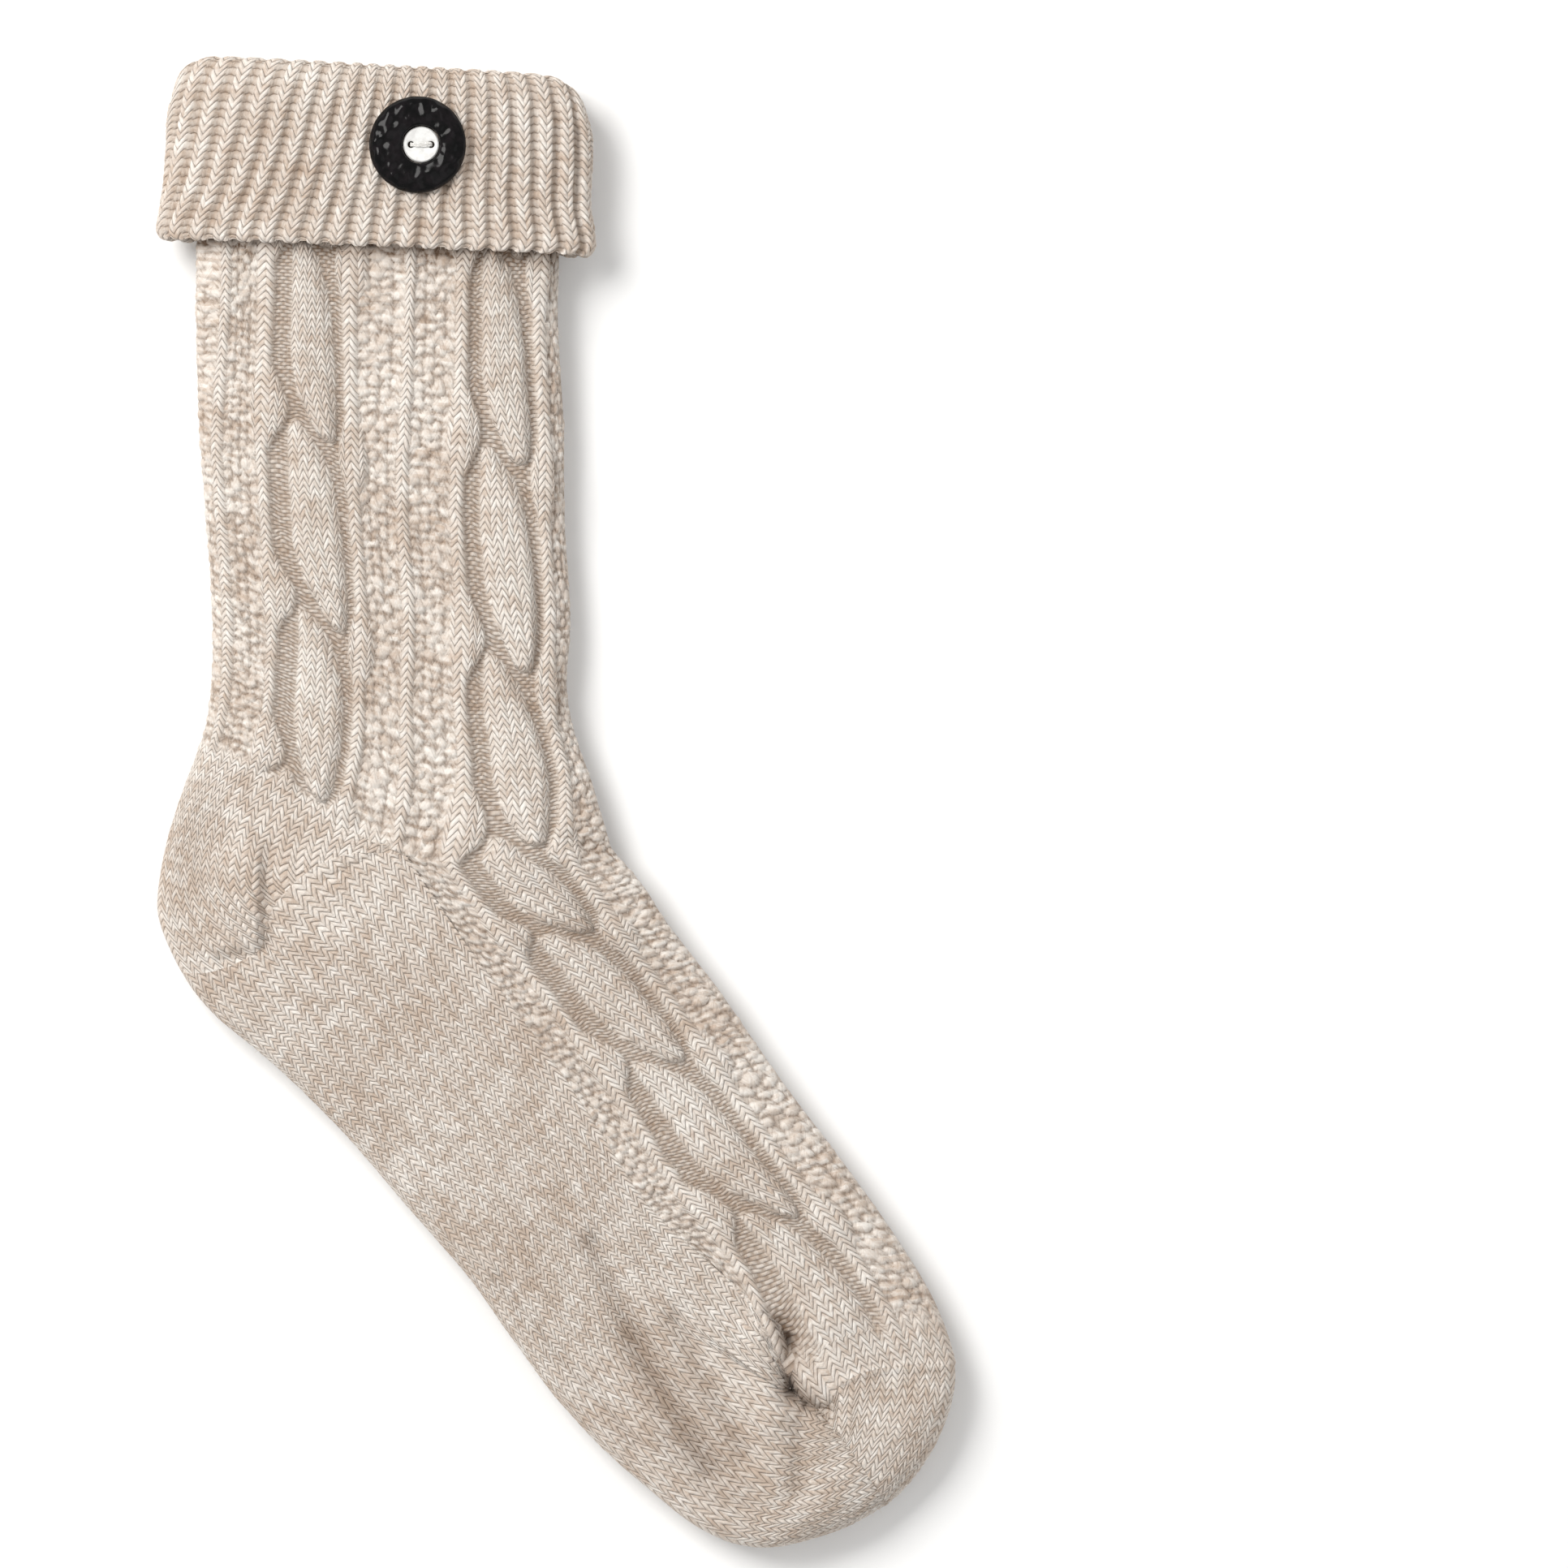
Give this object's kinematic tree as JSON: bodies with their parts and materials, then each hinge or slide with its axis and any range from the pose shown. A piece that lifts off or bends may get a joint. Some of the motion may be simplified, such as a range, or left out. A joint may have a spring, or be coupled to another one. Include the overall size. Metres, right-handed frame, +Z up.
{
  "type": "folk costume sock",
  "caption": "Thick knitted folk costume sock lying flat, cable and moss leg, plain heel, sole and toe, ribbed turned-down cuff with a black button.",
  "frame": {"origin": "under the middle of the object's box, on the surface that it lies on", "axes": "+Z up from the surface, +Y along the leg towards the cuff, +X towards the instep side; the toe points to +X and -Y"},
  "size_m": [0.1968, 0.3684, 0.0273],
  "materials": {
    "wool": "heather cream knit",
    "rib_wool": "heather cream 1x1 rib knit",
    "button_black": "high gloss, hammered",
    "button_white": "satin",
    "thread": "sewing thread"
  },
  "bodies": {
    "root": {"sock_leg": "wool", "sock_heel": "wool", "sock_foot": "wool", "sock_toe": "wool", "rib_cuff": "rib_wool", "button_rim": "button_black", "button_centre": "button_white", "button_thread": "thread"}
  },
  "joints": []
}
